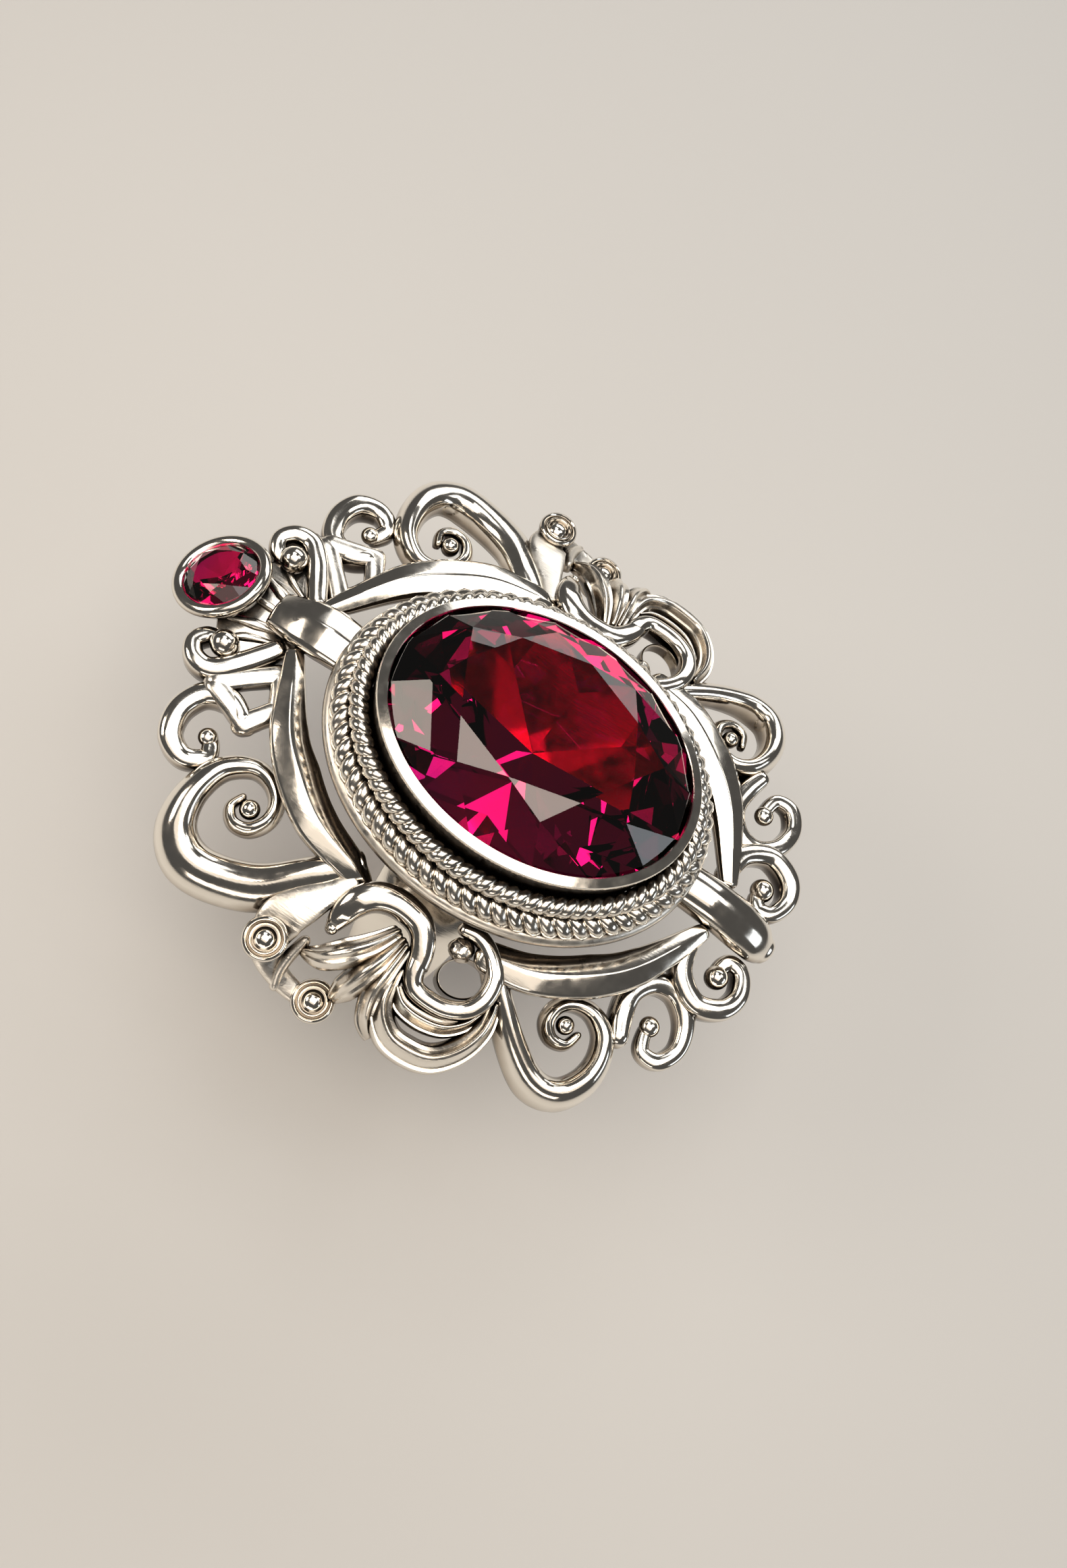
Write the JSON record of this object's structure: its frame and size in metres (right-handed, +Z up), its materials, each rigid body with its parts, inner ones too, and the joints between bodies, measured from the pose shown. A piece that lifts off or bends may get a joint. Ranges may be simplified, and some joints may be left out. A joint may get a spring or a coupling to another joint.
{
  "type": "cocktail ring",
  "caption": "Cocktail ring with a large oval cut stone in a plain bezel, twisted rope borders, and an openwork frame of ribbons, scrolls and leaves with a small round stone at one tip.",
  "frame": {"origin": "centre of the finger hole, midway across the shank", "axes": "+Y along the finger towards the small accent stone, +Z up through the large stone, +X across the finger"},
  "size_m": [0.0314, 0.0367, 0.0275],
  "materials": {
    "polished_silver": "polished silver with dark oxidised hollows",
    "rope_silver": "polished silver, oxidised between the twists",
    "oxidised_silver": "darkened silver",
    "centre_stone": "faceted, polished, deep red",
    "accent_stone": "faceted, polished, deep red"
  },
  "bodies": {
    "root": {"shank": "polished_silver", "gallery_plate": "oxidised_silver", "bezel_wall": "polished_silver", "bezel_seat": "oxidised_silver", "main_stone": "centre_stone", "inner_rope": "rope_silver", "outer_rope": "rope_silver", "rope_rail": "polished_silver", "left_top_ribbon": "polished_silver", "right_top_ribbon": "polished_silver", "left_bottom_ribbon": "polished_silver", "right_bottom_ribbon": "polished_silver", "left_top_scroll": "polished_silver", "right_top_scroll": "polished_silver", "left_bottom_scroll": "polished_silver", "right_bottom_scroll": "polished_silver", "left_top_curl": "polished_silver", "right_top_curl": "polished_silver", "left_bottom_curl": "polished_silver", "right_bottom_curl": "polished_silver", "left_top_end_curl": "polished_silver", "right_top_end_curl": "polished_silver", "left_bottom_end_curl": "polished_silver", "right_bottom_end_curl": "polished_silver", "left_top_link": "polished_silver", "right_top_link": "polished_silver", "top_band": "polished_silver", "bottom_band": "polished_silver", "accent_bezel": "polished_silver", "accent_seat": "oxidised_silver", "accent_stone": "accent_stone", "accent_plate": "polished_silver", "left_branch": "polished_silver", "right_branch": "polished_silver", "left_upper_button": "polished_silver", "right_upper_button": "polished_silver", "left_lower_button": "polished_silver", "right_lower_button": "polished_silver", "left_hook_leaf": "polished_silver", "right_hook_leaf": "polished_silver", "left_upper_frond": "polished_silver", "right_upper_frond": "polished_silver", "left_middle_frond": "polished_silver", "right_middle_frond": "polished_silver", "left_lower_frond": "polished_silver", "right_lower_frond": "polished_silver", "left_outer_crescent": "polished_silver", "right_outer_crescent": "polished_silver", "left_inner_crescent": "polished_silver", "right_inner_crescent": "polished_silver", "left_volute": "polished_silver", "right_volute": "polished_silver", "left_bead": "polished_silver", "right_bead": "polished_silver"}
  },
  "joints": []
}
